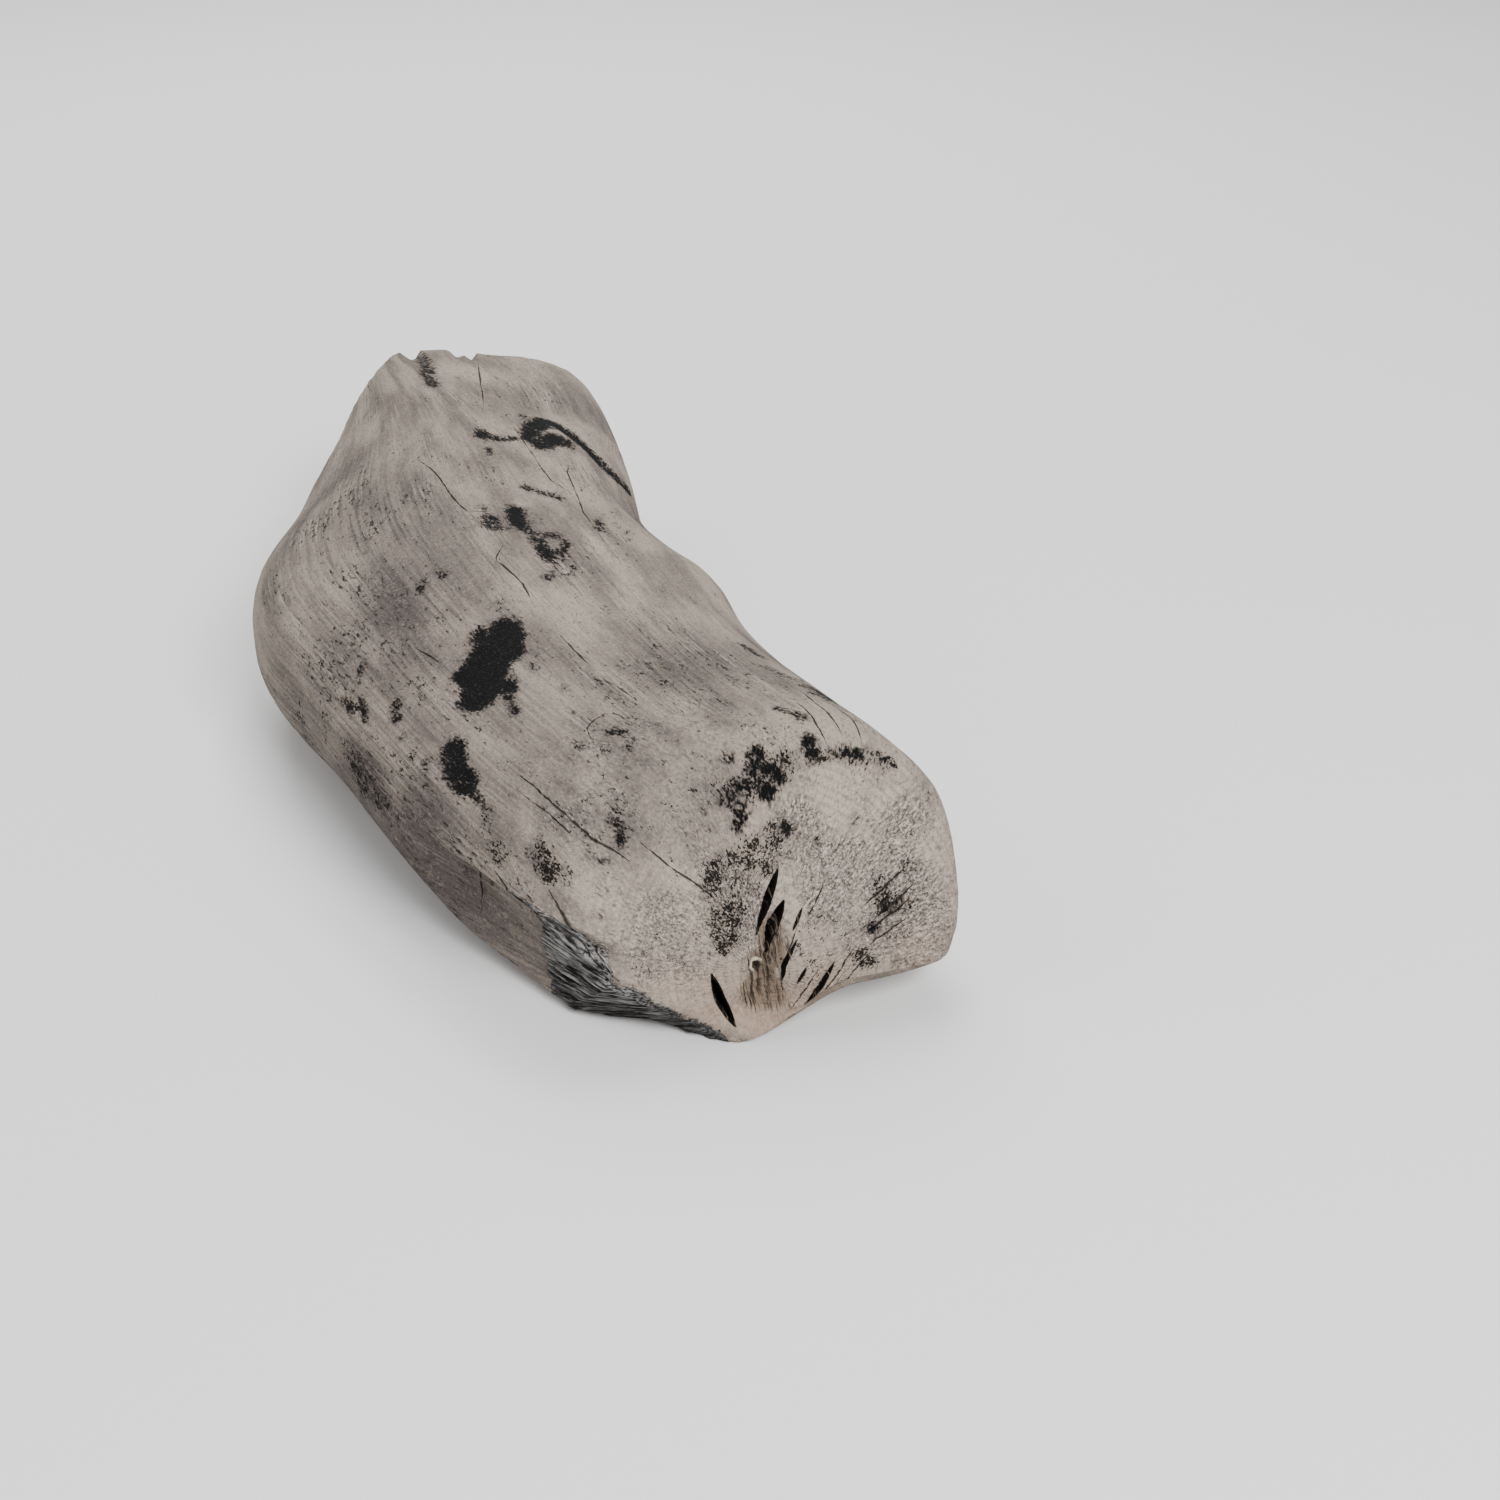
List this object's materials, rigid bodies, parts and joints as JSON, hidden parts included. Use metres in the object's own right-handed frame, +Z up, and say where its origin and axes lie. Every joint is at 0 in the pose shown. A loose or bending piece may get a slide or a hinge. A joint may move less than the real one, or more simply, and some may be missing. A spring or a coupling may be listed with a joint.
{
  "type": "charcoal lump",
  "caption": "Split length of hardwood branch burnt to hard white charcoal, with a leaning cut end, a broken lower corner and a narrower far end.",
  "frame": {"origin": "middle of the lump's box on plan, at the surface that it rests on", "axes": "+Z up, Y along the wood's grain with the near cut end towards -Y, X across the lump"},
  "size_m": [0.102, 0.2334, 0.0499],
  "materials": {
    "charcoal": "matt pale ash over black char, with the burnt wood's grain showing"
  },
  "bodies": {
    "root": {"charcoal_lump": "charcoal"}
  },
  "joints": []
}
